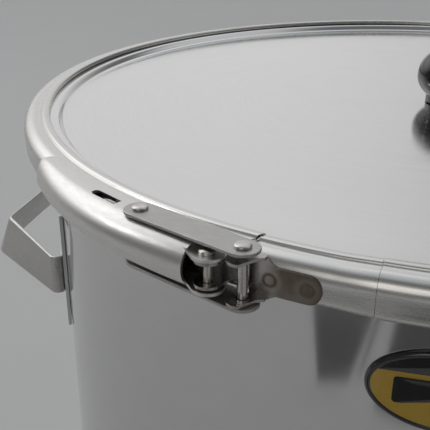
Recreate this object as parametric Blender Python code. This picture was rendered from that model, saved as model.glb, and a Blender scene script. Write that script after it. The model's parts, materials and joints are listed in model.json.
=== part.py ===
"""Pressure canner: a drum-like stainless pot whose lid is held by a lever-lock clamp ring.

Metres, +Z up.  The origin is the centre of the base, on the floor.  The two strap handles
lie on the X axis and the badge faces -Y.  Azimuths are degrees counter-clockwise from +X.
"""
import math

import bmesh
import bpy
from mathutils import Matrix, Vector

MM = 0.001
GAP = 0.35 * MM            # clearance between neighbouring pieces
LATHE_STEPS = 60           # facets round a full turn

# Heights above the floor, and radii from the vessel's axis
RING_TOP = 400 * MM        # top face of the clamp ring
RING_HEIGHT = 18 * MM
RING_RADIUS = 254.5 * MM
RING_TOP_LIP_RADIUS = 240 * MM
RING_LOW_LIP_RADIUS = 242 * MM
RING_CORNER = 4.5 * MM
RING_SHEET = 1.2 * MM
WALL_RADIUS = 238 * MM
WALL_SHEET = 1.5 * MM
POT_CORNER = 12 * MM
BASE_RADIUS = 215 * MM
BASE_HEIGHT = 6 * MM
BEAD_RADIUS = 242.8 * MM
BEAD_HALF_WIDTH = 3.6 * MM
BEAD_TOP = RING_TOP - 8 * MM
BEAD_HEIGHT = 7 * MM
RIM_TOP = RING_TOP - 3.2 * MM
LID_FLANGE_RADIUS = 249.5 * MM
LID_SHEET = 1.2 * MM
LID_PANEL = RING_TOP - 7 * MM
LID_DISH = 1.5 * MM

# Clamp ring: azimuths of its ends, and the closure's pivots
FLEX_AZIMUTH = 72.8
LEFT_END = -107.5
RIGHT_END = -96.9
TONGUE_ENDS = (-112.5, -94.0)
TONGUE_SHEET = 1.1 * MM
TONGUE_RADIUS = 252.8 * MM
ANCHOR = (258.5 * MM, -107.23)        # pin that holds the links to the right-hand end
FULCRUM = (262 * MM, -109.92)         # pin that the lever turns on
LINK_RIVET = (255.3 * MM, -118.42)    # where the links are riveted to the lever
LEVER_MOUTH = -111.2
LEVER_NOSE = -138.0
LEVER_CENTRE = RING_TOP - 9.2 * MM
LEVER_HALF_HEIGHT = 10.8 * MM
LEVER_SHEET = 1.2 * MM
LEVER_FLANGE_RADIUS = 247 * MM
LEVER_ARCH_RADIUS = 254 * MM          # where the flat flanges turn into the half-round web
LEVER_WEB_RADIUS = 267.5 * MM
LEVER_NOSE_RADIUS = 257.6 * MM
LINK_WIDTH = 13 * MM
LINK_SHEET = 1.3 * MM
TOP_LINK = RING_TOP + 2 * MM
LOW_LINK = RING_TOP - 21.9 * MM
PIN_RADIUS = 1.95 * MM
FULCRUM_PIN_RADIUS = 1.7 * MM
RIVET_HEAD_RADIUS = 3.25 * MM
RIVET_HEAD_HEIGHT = 1.6 * MM

# Handles
HANDLE_TOP = RING_TOP - 95 * MM
STRAP_WIDTH = 26 * MM
STRAP_SHEET = 2.3 * MM
GRIP_REACH = 281.5 * MM
GRIP_HALF = 49 * MM
ROOT_HALF = 101 * MM
FOOT_LENGTH = 20 * MM
GRIP_TILT = 20.0
PAD_SHEET = 2 * MM
PAD_AZIMUTHS = (17.0, 26.8)
PAD_TOP = RING_TOP - 62 * MM
PAD_BOTTOM = RING_TOP - 136 * MM

# Badge
BADGE_AZIMUTH = -90.5
BADGE_HEIGHT = RING_TOP - 52 * MM
BADGE_SEMI = (30 * MM, 17.5 * MM)
BADGE_BACK = 1.2 * MM
BADGE_BORDER = 2.6 * MM
BADGE_FACE = 0.6 * MM

# Lid fittings: (x, y) on the lid
GAUGE_AT = (108 * MM, 62 * MM)
VENT_AT = (122 * MM, -66 * MM)
PLUG_AT = (172 * MM, 4 * MM)
KNOB_RADIUS = 20 * MM
KNOB_HEIGHT = 34 * MM
STUD_RADIUS = 4 * MM
GAUGE_RADIUS = 27 * MM
GAUGE_CASE_BASE = LID_PANEL + 24 * MM
GAUGE_CASE_HEIGHT = 17 * MM
VENT_RADIUS = 3.6 * MM
VENT_TOP = LID_PANEL + 30 * MM
WEIGHT_RADIUS = 15 * MM

# Canning rack
RACK_RADIUS = 224 * MM
RACK_HEIGHT = 30 * MM
RACK_SHEET = 1.6 * MM
RACK_HOLE = 17 * MM

COLOURS = {
    "steel": ((0.62, 0.62, 0.61), 0.28, 1.0),
    "mirror_steel": ((0.72, 0.72, 0.71), 0.08, 1.0),
    "matte_steel": ((0.46, 0.45, 0.43), 0.42, 1.0),
    "dark_steel": ((0.24, 0.22, 0.2), 0.45, 1.0),
    "black_gloss": ((0.012, 0.012, 0.012), 0.12, 0.0),
    "black_rubber": ((0.03, 0.03, 0.03), 0.6, 0.0),
    "yellow_print": ((0.5, 0.32, 0.03), 0.35, 0.0),
    "dial_white": ((0.85, 0.85, 0.82), 0.4, 0.0),
    "red": ((0.5, 0.02, 0.015), 0.35, 0.0),
    "brass": ((0.6, 0.42, 0.16), 0.3, 1.0),
    "aluminium": ((0.6, 0.6, 0.6), 0.35, 1.0),
    "clear": ((0.95, 0.95, 0.95), 0.02, 0.0),
    "gasket": ((0.5, 0.5, 0.48), 0.55, 0.0),
}


def clear_scene():
    for item in list(bpy.data.objects):
        bpy.data.objects.remove(item, do_unlink=True)


def material(kind, name):
    colour, roughness, metallic = COLOURS[kind]
    mat = bpy.data.materials.new(name + "_" + kind)
    mat.use_nodes = True
    shader = mat.node_tree.nodes["Principled BSDF"]
    shader.inputs["Base Color"].default_value = (*colour, 1.0)
    shader.inputs["Roughness"].default_value = roughness
    shader.inputs["Metallic"].default_value = metallic
    return mat


def finish_object(name, bm, kind, smooth=35.0):
    """Close the bmesh into a named, shaded object."""
    bmesh.ops.remove_doubles(bm, verts=bm.verts, dist=0.002 * MM)
    bmesh.ops.recalc_face_normals(bm, faces=bm.faces)
    mesh = bpy.data.meshes.new(name)
    bm.to_mesh(mesh)
    bm.free()
    mesh.shade_smooth()
    mesh.set_sharp_from_angle(angle=math.radians(smooth))
    item = bpy.data.objects.new(name, mesh)
    bpy.context.scene.collection.objects.link(item)
    item.data.materials.append(material(kind, name))
    return item


def cylindrical(radius, azimuth, height):
    angle = math.radians(azimuth)
    return Vector((radius * math.cos(angle), radius * math.sin(angle), height))


def flat_point(polar):
    """The (x, y) of a (radius, azimuth) pair."""
    place = cylindrical(polar[0], polar[1], 0)
    return (place.x, place.y)


def arc(centre, radius, start, end, steps):
    """Profile points (r, z) along a circular or elliptical arc; angles from +r towards +z."""
    across, up = radius if isinstance(radius, tuple) else (radius, radius)
    points = []
    for step in range(steps + 1):
        angle = math.radians(start + (end - start) * step / steps)
        points.append((centre[0] + across * math.cos(angle), centre[1] + up * math.sin(angle)))
    return points


def turned(name, profile, kind, at=(0, 0), steps=LATHE_STEPS, smooth=35.0):
    """A closed (r, z) profile turned once round the vertical line through `at`."""
    bm = bmesh.new()
    verts = [bm.verts.new((r, 0, z)) for r, z in profile]
    edges = [bm.edges.new((a, b)) for a, b in zip(verts, verts[1:] + verts[:1])
             if max(a.co.x, b.co.x) > 0]
    bmesh.ops.spin(bm, geom=verts + edges, cent=(0, 0, 0), axis=(0, 0, 1),
                   angle=math.tau, steps=steps, use_merge=True)
    item = finish_object(name, bm, kind, smooth)
    item.location = (at[0], at[1], 0)
    return item


def loft(name, loops, kind, smooth=35.0):
    """A tube through loops of equal length, closed by its first and last loop."""
    bm = bmesh.new()
    rings = [[bm.verts.new(point) for point in loop] for loop in loops]
    for ring, following in zip(rings, rings[1:]):
        for index in range(len(ring)):
            side = (index + 1) % len(ring)
            bm.faces.new((ring[index], ring[side], following[side], following[index]))
    bm.faces.new(rings[0])
    bm.faces.new(rings[-1])
    return finish_object(name, bm, kind, smooth)


def bent_round(name, section_at, start, end, kind, step=4.0):
    """A section, which may change with azimuth, carried round the vessel's axis."""
    count = max(1, round(abs(end - start) / step))
    loops = []
    for index in range(count + 1):
        azimuth = start + (end - start) * index / count
        loops.append([cylindrical(r, azimuth, z) for r, z in section_at(azimuth)])
    return loft(name, loops, kind)


def plate(name, outline, bottom, top, kind):
    """A flat outline of (x, y) points between two heights."""
    loops = [[Vector((x, y, height)) for x, y in outline] for height in (bottom, top)]
    return loft(name, loops, kind)


def add_modifier(item, operation, tool):
    change = item.modifiers.new(tool.name, "BOOLEAN")
    change.operation = operation
    change.object = tool
    change.solver = "EXACT"
    tool.hide_render = True
    tool.display_type = "WIRE"


def bore(item, centre, radius, bottom, top, steps=20):
    """Drill a vertical hole through an object."""
    circle = [(centre[0] + radius * math.cos(math.tau * i / steps),
               centre[1] + radius * math.sin(math.tau * i / steps)) for i in range(steps)]
    add_modifier(item, "DIFFERENCE", plate(item.name + "_drill", circle, bottom, top, "steel"))


def round_end(centre, radius, start, end, steps=8):
    """Outline points (x, y) round a centre between two angles in degrees."""
    points = []
    for step in range(steps + 1):
        angle = math.radians(start + (end - start) * step / steps)
        points.append((centre[0] + radius * math.cos(angle),
                       centre[1] + radius * math.sin(angle)))
    return points


# ---------------------------------------------------------------- vessel

def pot_body():
    floor = BASE_HEIGHT + GAP
    inner = WALL_RADIUS - WALL_SHEET
    shift = POT_CORNER - WALL_SHEET
    bead = (BEAD_RADIUS, BEAD_TOP - BEAD_HEIGHT / 2)
    profile = [(0, floor)]
    profile += arc((WALL_RADIUS - POT_CORNER, floor + POT_CORNER), POT_CORNER, -90, 0, 3)
    profile += [(WALL_RADIUS, BEAD_TOP - BEAD_HEIGHT)]
    profile += arc(bead, (BEAD_HALF_WIDTH, BEAD_HEIGHT / 2), -90, 90, 4)
    profile += [(inner, BEAD_TOP)]
    profile += arc((inner - shift, floor + WALL_SHEET + shift), shift, 0, -90, 2)
    profile += [(0, floor + WALL_SHEET)]
    return turned("pot_body", profile, "mirror_steel")


def base_disc():
    bevel = 1 * MM
    profile = [(0, 0), (BASE_RADIUS - bevel, 0), (BASE_RADIUS, bevel),
               (BASE_RADIUS, BASE_HEIGHT), (0, BASE_HEIGHT)]
    return turned("base_disc", profile, "steel")


def rim_gasket():
    low, high = BEAD_TOP + GAP, RIM_TOP - LID_SHEET - GAP
    profile = [(239.6 * MM, low), (247.2 * MM, low), (247.6 * MM, (low + high) / 2),
               (247.2 * MM, high), (239.6 * MM, high)]
    return turned("rim_gasket", profile, "gasket")


def lid():
    """A dished panel, a shallow recess wall, and a flange that lies on the gasket."""
    under = RIM_TOP - LID_SHEET
    top = [(0, LID_PANEL - LID_DISH), (130 * MM, LID_PANEL - 0.67 * LID_DISH),
           (228 * MM, LID_PANEL), (231.5 * MM, LID_PANEL + 0.5 * MM),
           (234.2 * MM, RIM_TOP - 0.9 * MM), (236.5 * MM, RIM_TOP)]
    lower = [(LID_FLANGE_RADIUS, RIM_TOP), (LID_FLANGE_RADIUS, under),
             (237.2 * MM, under), (235 * MM, under - 1 * MM), (232 * MM, LID_PANEL - LID_SHEET),
             (130 * MM, LID_PANEL - 0.67 * LID_DISH - LID_SHEET),
             (0, LID_PANEL - LID_DISH - LID_SHEET)]
    item = turned("lid", (top + lower)[::-1], "mirror_steel")
    low, high = LID_PANEL - 6 * MM, LID_PANEL + 3 * MM
    bore(item, (0, 0), STUD_RADIUS + GAP, low, high)
    bore(item, GAUGE_AT, 6 * MM + GAP, low, high)
    bore(item, VENT_AT, 5 * MM + GAP, low, high)
    bore(item, PLUG_AT, 6 * MM + GAP, low, high)
    return item


# ---------------------------------------------------------------- clamp ring

def ring_section(_azimuth):
    """The clamp ring's C section, open towards the axis."""
    top, low = RING_TOP, RING_TOP - RING_HEIGHT
    centre = RING_RADIUS - RING_CORNER
    inner_corner = RING_CORNER - RING_SHEET
    section = [(RING_TOP_LIP_RADIUS, top)]
    section += arc((centre, top - RING_CORNER), RING_CORNER, 90, 0, 3)
    section += arc((centre, low + RING_CORNER), RING_CORNER, 0, -90, 3)
    section += [(RING_LOW_LIP_RADIUS, low), (RING_LOW_LIP_RADIUS, low + RING_SHEET)]
    section += arc((centre, low + RING_CORNER), inner_corner, -90, 0, 3)
    section += arc((centre, top - RING_CORNER), inner_corner, 0, 90, 3)
    section += [(RING_TOP_LIP_RADIUS, top - RING_SHEET)]
    return section


def clamp_band():
    split = 0.12
    bent_round("clamp_band_left", ring_section, LEFT_END, FLEX_AZIMUTH - 360 + split, "steel", 6)
    bent_round("clamp_band_right", ring_section, RIGHT_END, FLEX_AZIMUTH - split, "steel", 6)


def tongue_section(_azimuth):
    """The narrower C that joins the ring's two ends from inside."""
    top = RING_TOP - RING_SHEET - GAP
    low = RING_TOP - RING_HEIGHT + RING_SHEET + GAP
    corner = 3 * MM
    centre = TONGUE_RADIUS - corner
    section = [(241 * MM, top)]
    section += arc((centre, top - corner), corner, 90, 0, 3)
    section += arc((centre, low + corner), corner, 0, -90, 3)
    section += [(243.5 * MM, low), (243.5 * MM, low + TONGUE_SHEET)]
    section += arc((centre, low + corner), corner - TONGUE_SHEET, -90, 0, 3)
    section += arc((centre, top - corner), corner - TONGUE_SHEET, 0, 90, 3)
    section += [(241 * MM, top - TONGUE_SHEET)]
    return section


def clamp_tongue():
    return bent_round("clamp_tongue", tongue_section, *TONGUE_ENDS, "steel", 2.5)


def lever_web_radius(azimuth):
    """The web is full depth over the grip and sinks to the ring at the nose."""
    along = (azimuth - LEVER_MOUTH) / (LEVER_NOSE - LEVER_MOUTH)
    fall = max(0.0, (along - 0.3) / 0.7)
    return LEVER_WEB_RADIUS + (LEVER_NOSE_RADIUS - LEVER_WEB_RADIUS) * fall ** 1.6


def lever_section(azimuth):
    """Half-round channel that wraps the ring: flat flanges and an arched web."""
    depth = lever_web_radius(azimuth) - LEVER_ARCH_RADIUS
    centre = (LEVER_ARCH_RADIUS, LEVER_CENTRE)
    inner = LEVER_HALF_HEIGHT - LEVER_SHEET
    section = [(LEVER_FLANGE_RADIUS, LEVER_CENTRE + LEVER_HALF_HEIGHT)]
    section += arc(centre, (depth, LEVER_HALF_HEIGHT), 90, -90, 10)
    section += [(LEVER_FLANGE_RADIUS, LEVER_CENTRE - LEVER_HALF_HEIGHT),
                (LEVER_FLANGE_RADIUS, LEVER_CENTRE - inner)]
    section += arc(centre, (depth - LEVER_SHEET, inner), -90, 90, 10)
    section += [(LEVER_FLANGE_RADIUS, LEVER_CENTRE + inner)]
    return section


def lever_ear(name, bottom, top):
    """A flat ear round the fulcrum pin, running back into the channel."""
    outward = FULCRUM[1]
    arm = round_end(flat_point(FULCRUM), 6.3 * MM, outward, outward + 180, 10)
    back_outer = flat_point((262.8 * MM, -113.2))
    back_inner = flat_point((257.6 * MM, -113.0))
    return plate(name, arm + [back_inner, back_outer], bottom, top, "steel")


def lever():
    item = bent_round("lever", lever_section, LEVER_MOUTH, LEVER_NOSE, "steel", 2.2)
    pin = flat_point(FULCRUM)
    heights = ((RING_TOP - 2.3 * MM, RING_TOP - 1.1 * MM),
               (RING_TOP - 17.0 * MM, RING_TOP - 15.8 * MM))
    for index, (bottom, top) in enumerate(heights):
        add_modifier(item, "UNION", lever_ear("lever_ear_%d" % index, bottom, top))
    bore(item, pin, FULCRUM_PIN_RADIUS + GAP, RING_TOP - 19 * MM, RING_TOP + 0.2 * MM)
    slot = [flat_point((radius, azimuth)) for radius, azimuth in
            ((252.6 * MM, -124.9), (252.6 * MM, -121.6), (256.2 * MM, -121.6),
             (256.2 * MM, -124.9))]
    add_modifier(item, "DIFFERENCE",
                 plate("lever_slot", slot, RING_TOP - 1 * MM, RING_TOP + 4 * MM, "steel"))
    return item


def seal_lug():
    """A small upright tab on the ring, seen through the lever's slot."""
    section = [(254.85 * MM, RING_TOP - 6 * MM), (256.0 * MM, RING_TOP - 6 * MM),
               (256.0 * MM, RING_TOP), (254.85 * MM, RING_TOP)]
    return bent_round("seal_lug", lambda _azimuth: section, -122.9, -121.8, "steel", 1)


def fulcrum_bracket():
    """Bent sheet on the left-hand end: a back plate and two ears for the fulcrum pin."""
    pin = flat_point(FULCRUM)
    top, low = RING_TOP - 3.0 * MM, RING_TOP - 15.1 * MM
    inner, outer = 254.85 * MM, 256.0 * MM
    back = [(inner, low), (outer, low), (outer, top), (inner, top)]
    item = bent_round("fulcrum_bracket", lambda _azimuth: back, -107.7, -115.0, "dark_steel", 1)
    for index, height in enumerate((low, top - 1.1 * MM)):
        ear = round_end(pin, 5.2 * MM, FULCRUM[1] - 90, FULCRUM[1] + 90, 10)
        ear += [flat_point((255.3 * MM, -108.6)), flat_point((255.3 * MM, -111.3))]
        ear_name = "fulcrum_ear_%d" % index
        add_modifier(item, "UNION", plate(ear_name, ear, height, height + 1.1 * MM, "steel"))
    bore(item, pin, FULCRUM_PIN_RADIUS + GAP, RING_TOP - 19 * MM, RING_TOP)
    return item


def anchor_outline():
    """An ear with a round free end that runs straight back to the plate's right edge."""
    centre = flat_point((260.3 * MM, ANCHOR[1]))
    ear = round_end(centre, 5.2 * MM, ANCHOR[1] - 180, ANCHOR[1] + 20, 12)
    return ear + [flat_point((257.5 * MM, -104.9)), flat_point((254.3 * MM, -104.4)),
                  flat_point((253.5 * MM, -104.4)), flat_point((253.5 * MM, -107.1))]


def anchor_bracket():
    """Bent sheet welded to the tongue: a tall plate with two ears, and a long tab."""
    pin = flat_point(ANCHOR)
    inner, outer = 253.2 * MM, 254.4 * MM
    ear_sheet = 1.2 * MM
    top, low = RING_TOP - 0.8 * MM, RING_TOP - 20.2 * MM

    def plate_section(azimuth):
        narrow = min(1.0, max(0.0, (azimuth + 105.6) / 1.4))
        upper = top - narrow * 4.2 * MM
        lower = low + narrow * 3.7 * MM
        return [(inner, lower), (outer, lower), (outer, upper), (inner, upper)]

    item = bent_round("anchor_bracket", plate_section, -107.15, -101.4, "dark_steel", 0.35)
    for index, height in enumerate((low, top - ear_sheet)):
        ear = plate("anchor_ear_%d" % index, anchor_outline(), height, height + ear_sheet, "steel")
        add_modifier(item, "UNION", ear)
    bore(item, pin, PIN_RADIUS + GAP, low - 1 * MM, top + 1 * MM)
    return item


def headed_pin(name, polar, radius, bottom, top, kind):
    """A pin with a domed head at each end; bottom and top are the faces the heads sit on."""
    head, dome = RIVET_HEAD_RADIUS, RIVET_HEAD_HEIGHT
    seat = 0.1 * MM
    profile = [(0, bottom - seat - dome), (0.72 * head, bottom - seat - dome),
               (head, bottom - seat - 0.6 * dome), (head, bottom - seat), (radius, bottom - seat),
               (radius, top + seat), (head, top + seat), (head, top + seat + 0.6 * dome),
               (0.72 * head, top + seat + dome), (0, top + seat + dome)]
    return turned(name, profile, kind, at=flat_point(polar), steps=24)


def short_rivet(name, polar, low, high, up, kind):
    """A rivet through one link plate, with its head on the outer face."""
    radius, head, dome, seat = PIN_RADIUS, RIVET_HEAD_RADIUS, RIVET_HEAD_HEIGHT, 0.1 * MM
    profile = [(0, 0), (radius, 0), (radius, high - low + seat), (head, high - low + seat),
               (head, high - low + seat + 0.6 * dome),
               (0.72 * head, high - low + seat + dome), (0, high - low + seat + dome)]
    if up:
        profile = [(r, low + z) for r, z in profile]
    else:
        profile = [(r, high - z) for r, z in profile][::-1]
    return turned(name, profile, kind, at=flat_point(polar), steps=24)


def link_outline():
    """A flat bar with round ends over the anchor pin and the link rivet."""
    anchor, rivet = flat_point(ANCHOR), flat_point(LINK_RIVET)
    heading = math.degrees(math.atan2(rivet[1] - anchor[1], rivet[0] - anchor[0]))
    half = LINK_WIDTH / 2
    return (round_end(rivet, half, heading - 90, heading + 90)
            + round_end(anchor, half, heading + 90, heading + 270))


def links():
    for name, bottom in (("link_top", TOP_LINK), ("link_bottom", LOW_LINK)):
        item = plate(name, link_outline(), bottom, bottom + LINK_SHEET, "matte_steel")
        for index, polar in enumerate((ANCHOR, LINK_RIVET)):
            low, high = bottom - 1 * MM, bottom + LINK_SHEET + 1 * MM
            circle = round_end(flat_point(polar), PIN_RADIUS + 0.3 * MM, 0, 342, 19)
            drill = plate("%s_drill_%d" % (name, index), circle, low, high, "steel")
            add_modifier(item, "DIFFERENCE", drill)
    short_rivet("link_rivet_top", LINK_RIVET, TOP_LINK, TOP_LINK + LINK_SHEET, True, "steel")
    short_rivet("link_rivet_bottom", LINK_RIVET, LOW_LINK, LOW_LINK + LINK_SHEET, False, "steel")


def pins():
    headed_pin("anchor_pin", ANCHOR, PIN_RADIUS, LOW_LINK, TOP_LINK + LINK_SHEET, "steel")
    headed_pin("fulcrum_pin", FULCRUM, FULCRUM_PIN_RADIUS, RING_TOP - 17.2 * MM,
               RING_TOP - 1.0 * MM, "steel")


# ---------------------------------------------------------------- handles and badge

def strap_loop(centre, tangent, tilt):
    """The strap's rectangular section at one point of its path."""
    normal = Vector((tangent.y, -tangent.x, 0)).normalized()
    lean = math.radians(tilt)
    outward = normal if normal.dot(Vector((centre.x, centre.y, 0))) > 0 else -normal
    width = Vector((0, 0, -math.cos(lean))) + outward * math.sin(lean)
    half = normal * (STRAP_SHEET / 2)
    drop = width * STRAP_WIDTH
    return [centre - half, centre + half, centre + half + drop, centre - half + drop]


def rounded_corner(before, corner, after, radius, steps):
    """Points of a fillet of the given radius between two straight runs."""
    back, ahead = (before - corner).normalized(), (after - corner).normalized()
    half_angle = back.angle(ahead) / 2
    reach = radius / math.tan(half_angle)
    middle = corner + (back + ahead).normalized() * (radius / math.sin(half_angle))
    start = corner + back * reach - middle
    sweep = math.pi - 2 * half_angle
    turn = 1 if back.cross(ahead).z < 0 else -1
    return [middle + Matrix.Rotation(turn * sweep * i / steps, 3, "Z") @ start
            for i in range(steps + 1)]


def handle_path():
    """Half of the strap's centreline, from the foot's free end to the middle of the grip."""
    foot_radius = WALL_RADIUS + GAP + PAD_SHEET + GAP + STRAP_SHEET / 2
    root_angle = math.degrees(math.asin(ROOT_HALF / foot_radius))
    foot_angle = root_angle - math.degrees(FOOT_LENGTH / foot_radius)
    foot = cylindrical(foot_radius, foot_angle, HANDLE_TOP)
    root = cylindrical(foot_radius, root_angle, HANDLE_TOP)
    corner = Vector((GRIP_REACH, GRIP_HALF, HANDLE_TOP))
    middle = Vector((GRIP_REACH, 0, HANDLE_TOP))
    path = [foot] + rounded_corner(foot, root, corner, 3.2 * MM, 6)
    path += rounded_corner(root, corner, middle, 9 * MM, 4)
    return path + [middle]


def handle(name, side):
    half = handle_path()
    path = half + [Vector((p.x, -p.y, p.z)) for p in half[-2::-1]]
    loops = []
    for index, centre in enumerate(path):
        before, after = path[max(0, index - 1)], path[min(len(path) - 1, index + 1)]
        reach = (centre.x - path[0].x) / (GRIP_REACH - path[0].x)
        tilt = GRIP_TILT * min(1.0, max(0.0, reach))
        loops.append(strap_loop(centre, after - before, tilt))
    item = loft(name, loops, "steel")
    if side < 0:
        item.rotation_euler.z = math.pi
    return item


def handle_pads():
    inner = WALL_RADIUS + GAP
    section = [(inner, PAD_BOTTOM), (inner + PAD_SHEET, PAD_BOTTOM),
               (inner + PAD_SHEET, PAD_TOP), (inner, PAD_TOP)]
    start, end = PAD_AZIMUTHS
    for name, low, high in (("handle_pad_right_rear", start, end),
                            ("handle_pad_right_front", -end, -start),
                            ("handle_pad_left_rear", 180 - end, 180 - start),
                            ("handle_pad_left_front", 180 + start, 180 + end)):
        bent_round(name, lambda _azimuth: section, low, high, "steel", 2)


def oval_on_wall(name, semi, inner, outer, kind, columns=24):
    """An oval plate that follows the curve of the wall."""
    loops = []
    for column in range(columns + 1):
        angle = math.pi * (0.02 + 0.96 * column / columns)
        along, rise = -semi[0] * math.cos(angle), semi[1] * math.sin(angle)
        azimuth = BADGE_AZIMUTH + math.degrees(along / inner)
        loops.append([cylindrical(inner, azimuth, BADGE_HEIGHT - rise),
                      cylindrical(outer, azimuth, BADGE_HEIGHT - rise),
                      cylindrical(outer, azimuth, BADGE_HEIGHT + rise),
                      cylindrical(inner, azimuth, BADGE_HEIGHT + rise)])
    return loft(name, loops, kind)


def badge():
    back = WALL_RADIUS + GAP
    face = back + BADGE_BACK + GAP
    oval_on_wall("badge_plate", BADGE_SEMI, back, back + BADGE_BACK, "black_gloss")
    face_semi = (BADGE_SEMI[0] - BADGE_BORDER, BADGE_SEMI[1] - BADGE_BORDER)
    oval_on_wall("badge_face", face_semi, face, face + BADGE_FACE, "yellow_print")


# ---------------------------------------------------------------- lid fittings

def knob():
    base = LID_PANEL - LID_DISH + GAP
    middle = base + 16 * MM
    bore_top = base + 20 * MM
    profile = [(STUD_RADIUS + GAP, base), (13 * MM, base), (14 * MM, base + 1 * MM)]
    profile += arc((0, middle), (KNOB_RADIUS, KNOB_HEIGHT - 16 * MM), -40, 90, 8)
    profile += [(0, bore_top), (STUD_RADIUS + GAP, bore_top)]
    return turned("lid_knob", profile, "black_gloss", steps=24)


def hexagon(name, at, radius, hole, bottom, top, kind):
    item = plate(name, [(at[0] + x, at[1] + y) for x, y in round_end((0, 0), radius, 0, 300, 5)],
                 bottom, top, kind)
    bore(item, at, hole, bottom - 1 * MM, top + 1 * MM, 24)
    return item


def knob_fixings():
    underside = LID_PANEL - LID_DISH - LID_SHEET
    washer = [(STUD_RADIUS + GAP, underside - 1.6 * MM), (11 * MM, underside - 1.6 * MM),
              (11 * MM, underside - GAP), (STUD_RADIUS + GAP, underside - GAP)]
    turned("knob_washer", washer, "steel", steps=32)
    hexagon("knob_nut", (0, 0), 7.5 * MM, STUD_RADIUS + GAP, underside - 8.5 * MM,
            underside - 1.6 * MM - GAP, "steel")
    stud = [(0, underside - 10 * MM), (STUD_RADIUS, underside - 10 * MM),
            (STUD_RADIUS, LID_PANEL + 17 * MM), (0, LID_PANEL + 17 * MM)]
    turned("knob_stud", stud, "steel", steps=24)


def panel_height(at):
    """Height of the lid's top face under a fitting."""
    share = min(1.0, math.hypot(*at) / (228 * MM))
    return LID_PANEL - LID_DISH * (1 - share ** 2)


def gauge():
    seat = panel_height(GAUGE_AT) + 0.6 * MM
    hexagon("gauge_nut", GAUGE_AT, 10 * MM, 5 * MM + GAP, seat, seat + 7 * MM, "brass")
    stem = [(0, seat - 10 * MM), (5 * MM, seat - 10 * MM), (5 * MM, GAUGE_CASE_BASE - GAP),
            (0, GAUGE_CASE_BASE - GAP)]
    turned("gauge_stem", stem, "brass", at=GAUGE_AT, steps=24)
    low, high, outer = GAUGE_CASE_BASE, GAUGE_CASE_BASE + GAUGE_CASE_HEIGHT, GAUGE_RADIUS
    case = [(0, low), (outer - 3 * MM, low), (outer, low + 3 * MM), (outer, high),
            (outer - 1.5 * MM, high), (outer - 1.5 * MM, low + 4 * MM), (0, low + 4 * MM)]
    turned("gauge_case", case, "steel", at=GAUGE_AT, steps=32)
    dial_top = high - 6 * MM
    dial = [(0, low + 4 * MM + GAP), (outer - 2 * MM, low + 4 * MM + GAP),
            (outer - 2 * MM, dial_top), (0, dial_top)]
    turned("gauge_dial", dial, "dial_white", at=GAUGE_AT, steps=32)
    lens = [(0, high - 2.5 * MM), (outer - 2 * MM, high - 2.5 * MM), (outer - 2 * MM, high - 0.8 * MM),
            (0, high - 0.8 * MM)]
    turned("gauge_lens", lens, "clear", at=GAUGE_AT, steps=32)
    bezel = [(outer - 4 * MM, high + GAP), (outer + 1.2 * MM, high + GAP),
             (outer + 1.2 * MM, high + 2 * MM), (outer - 1 * MM, high + 3 * MM),
             (outer - 4 * MM, high + 1.5 * MM)]
    turned("gauge_bezel", bezel, "steel", at=GAUGE_AT, steps=32)
    needle_low = dial_top + 0.7 * MM
    hub = [(0, needle_low), (2.6 * MM, needle_low), (2.6 * MM, needle_low + 1.4 * MM),
           (0, needle_low + 1.4 * MM)]
    needle = turned("gauge_needle", hub, "red", at=GAUGE_AT, steps=16)
    blade = [(GAUGE_AT[0] + x, GAUGE_AT[1] + y) for x, y in
             ((-5 * MM, -1.0 * MM), (0, -1.3 * MM), (17 * MM, -0.3 * MM), (17 * MM, 0.3 * MM),
              (0, 1.3 * MM), (-5 * MM, 1.0 * MM))]
    pointer = plate("gauge_pointer", [turn_about(GAUGE_AT, p, -135) for p in blade],
                    needle_low + 0.2 * MM, needle_low + 0.8 * MM, "red")
    add_modifier(needle, "UNION", pointer)


def turn_about(centre, point, degrees):
    angle = math.radians(degrees)
    across, up = point[0] - centre[0], point[1] - centre[1]
    return (centre[0] + across * math.cos(angle) - up * math.sin(angle),
            centre[1] + across * math.sin(angle) + up * math.cos(angle))


def vent():
    seat = panel_height(VENT_AT) + 0.6 * MM
    hexagon("vent_nut", VENT_AT, 9 * MM, 5 * MM + GAP, seat, seat + 5 * MM, "steel")
    collar = seat + 8 * MM
    pipe = [(1.2 * MM, seat - 9 * MM), (5 * MM, seat - 9 * MM), (5 * MM, collar),
            (VENT_RADIUS, collar + 1 * MM), (VENT_RADIUS, VENT_TOP), (1.2 * MM, VENT_TOP)]
    turned("vent_pipe", pipe, "steel", at=VENT_AT, steps=24)
    skirt = collar + 2 * MM
    roof = VENT_TOP + 1 * MM
    weight = [(VENT_RADIUS + 0.5 * MM, skirt), (WEIGHT_RADIUS - 1 * MM, skirt),
              (WEIGHT_RADIUS, skirt + 1 * MM), (WEIGHT_RADIUS, roof - 3 * MM),
              (WEIGHT_RADIUS - 4 * MM, roof), (7 * MM, roof + 3 * MM), (8 * MM, roof + 10 * MM),
              (6 * MM, roof + 12 * MM), (0, roof + 12 * MM), (0, roof),
              (VENT_RADIUS + 0.5 * MM, roof)]
    turned("vent_weight", weight, "black_gloss", at=VENT_AT, steps=24)


def safety_plug():
    seat = panel_height(PLUG_AT) + 0.4 * MM
    low = seat - 4 * MM
    profile = [(0, low), (8.5 * MM, low), (8.5 * MM, seat - 2.2 * MM), (6 * MM, seat - 2.2 * MM),
               (6 * MM, seat), (9 * MM, seat), (9 * MM, seat + 2 * MM), (7 * MM, seat + 4 * MM),
               (3 * MM, seat + 5 * MM), (0, seat + 5 * MM)]
    return turned("safety_plug", profile, "black_rubber", at=PLUG_AT, steps=20)


# ---------------------------------------------------------------- canning rack

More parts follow.
